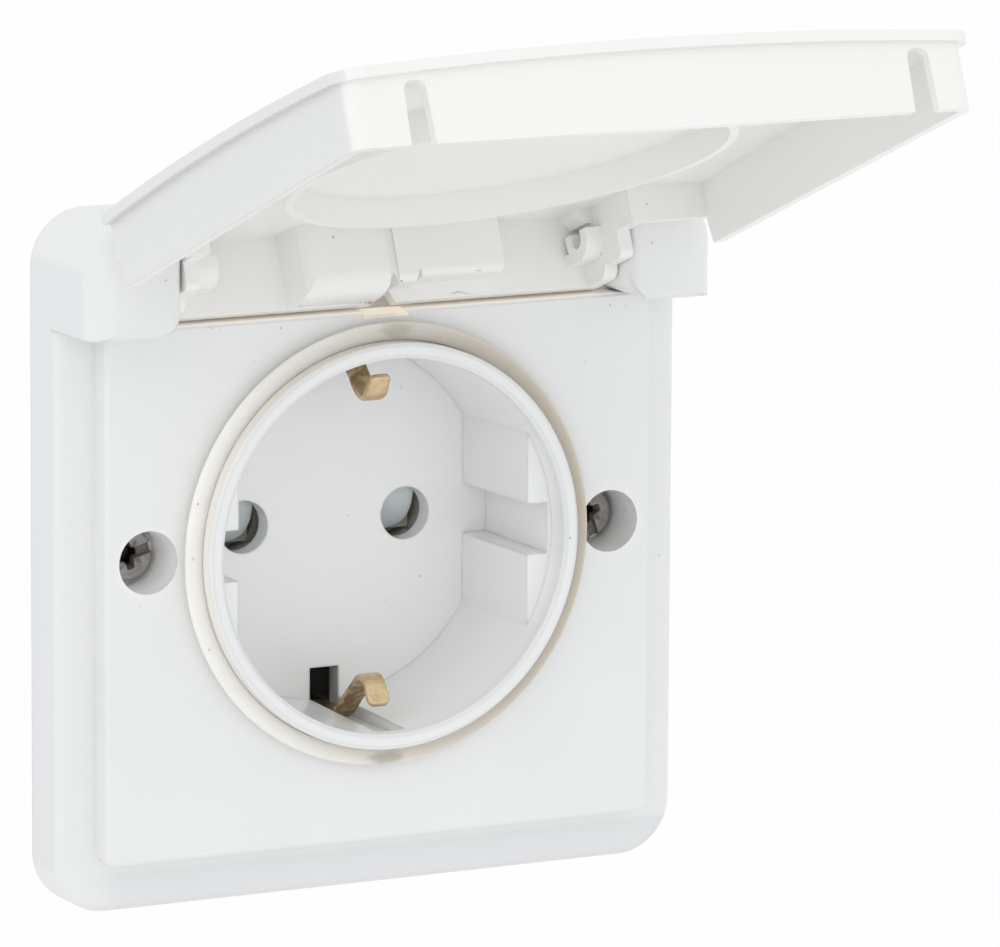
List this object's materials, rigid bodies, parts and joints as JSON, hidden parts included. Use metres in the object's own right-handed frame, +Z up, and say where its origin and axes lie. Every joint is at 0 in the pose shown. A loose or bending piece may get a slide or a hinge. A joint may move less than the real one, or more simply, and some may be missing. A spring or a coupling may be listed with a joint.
{
  "type": "outdoor weatherproof socket",
  "caption": "Flush-mounted splash-proof wall socket with a square white frame, a round earthed plug recess, a rubber collar ring and a hinged lid that stays open.",
  "frame": {"origin": "on the axis of the round plug recess, in the plane of the wall, at the centre of the circle of box screws", "axes": "+X to the right seen from the front, +Y into the wall along the plug's axis, +Z up towards the lid's hinge"},
  "size_m": [0.0724, 0.1025, 0.0971],
  "materials": {
    "cover_plastic": "satin white moulded plastic",
    "insert_plastic": "glossy white moulded plastic",
    "gasket_rubber": "translucent beige soft rubber",
    "foam_rubber": "dark foam",
    "pin_steel": "ground steel",
    "cover_screw_zinc": "dull zinc-plated steel",
    "earth_brass": "pale spring brass",
    "shutter_plastic": "pale bluish plastic",
    "spring_steel": "bright wire",
    "base_plastic": "matt black moulded plastic",
    "contact_brass": "bright brass",
    "terminal_steel": "zinc-plated steel",
    "yoke_steel": "galvanised sheet steel"
  },
  "bodies": {
    "socket_body": {"outer_frame": "cover_plastic", "front_plate": "cover_plastic", "socket_insert": "insert_plastic", "collar_gasket": "gasket_rubber", "hinge_pin_left": "pin_steel", "hinge_pin_right": "pin_steel", "cover_screw_left": "cover_screw_zinc", "cover_screw_right": "cover_screw_zinc", "earth_bracket": "earth_brass", "shutter_spring": "spring_steel", "contact_base": "base_plastic", "live_contact": "contact_brass", "neutral_contact": "contact_brass", "live_terminal_screw": "terminal_steel", "neutral_terminal_screw": "terminal_steel", "earth_terminal_screw": "terminal_steel", "support_yoke": "yoke_steel", "wall_seal": "foam_rubber", "base_screws": "terminal_steel"},
    "lid_body": {"lid": "cover_plastic"},
    "shutter_body": {"shutter": "shutter_plastic"}
  },
  "joints": [
    {"name": "lid_hinge", "type": "hinge", "parent": "socket_body", "child": "lid_body", "pos_m": [0, -0.0093, 0.0305], "axis": [-1, 0, 0], "range_deg": [-112, 3]},
    {"name": "shutter_slide", "type": "slide", "parent": "socket_body", "child": "shutter_body", "axis": [0, 0, 1], "range_m": [0, 0.005], "stiffness_N_per_m": 60, "springref_m": -0.003, "deforming": ["shutter_spring"]}
  ]
}
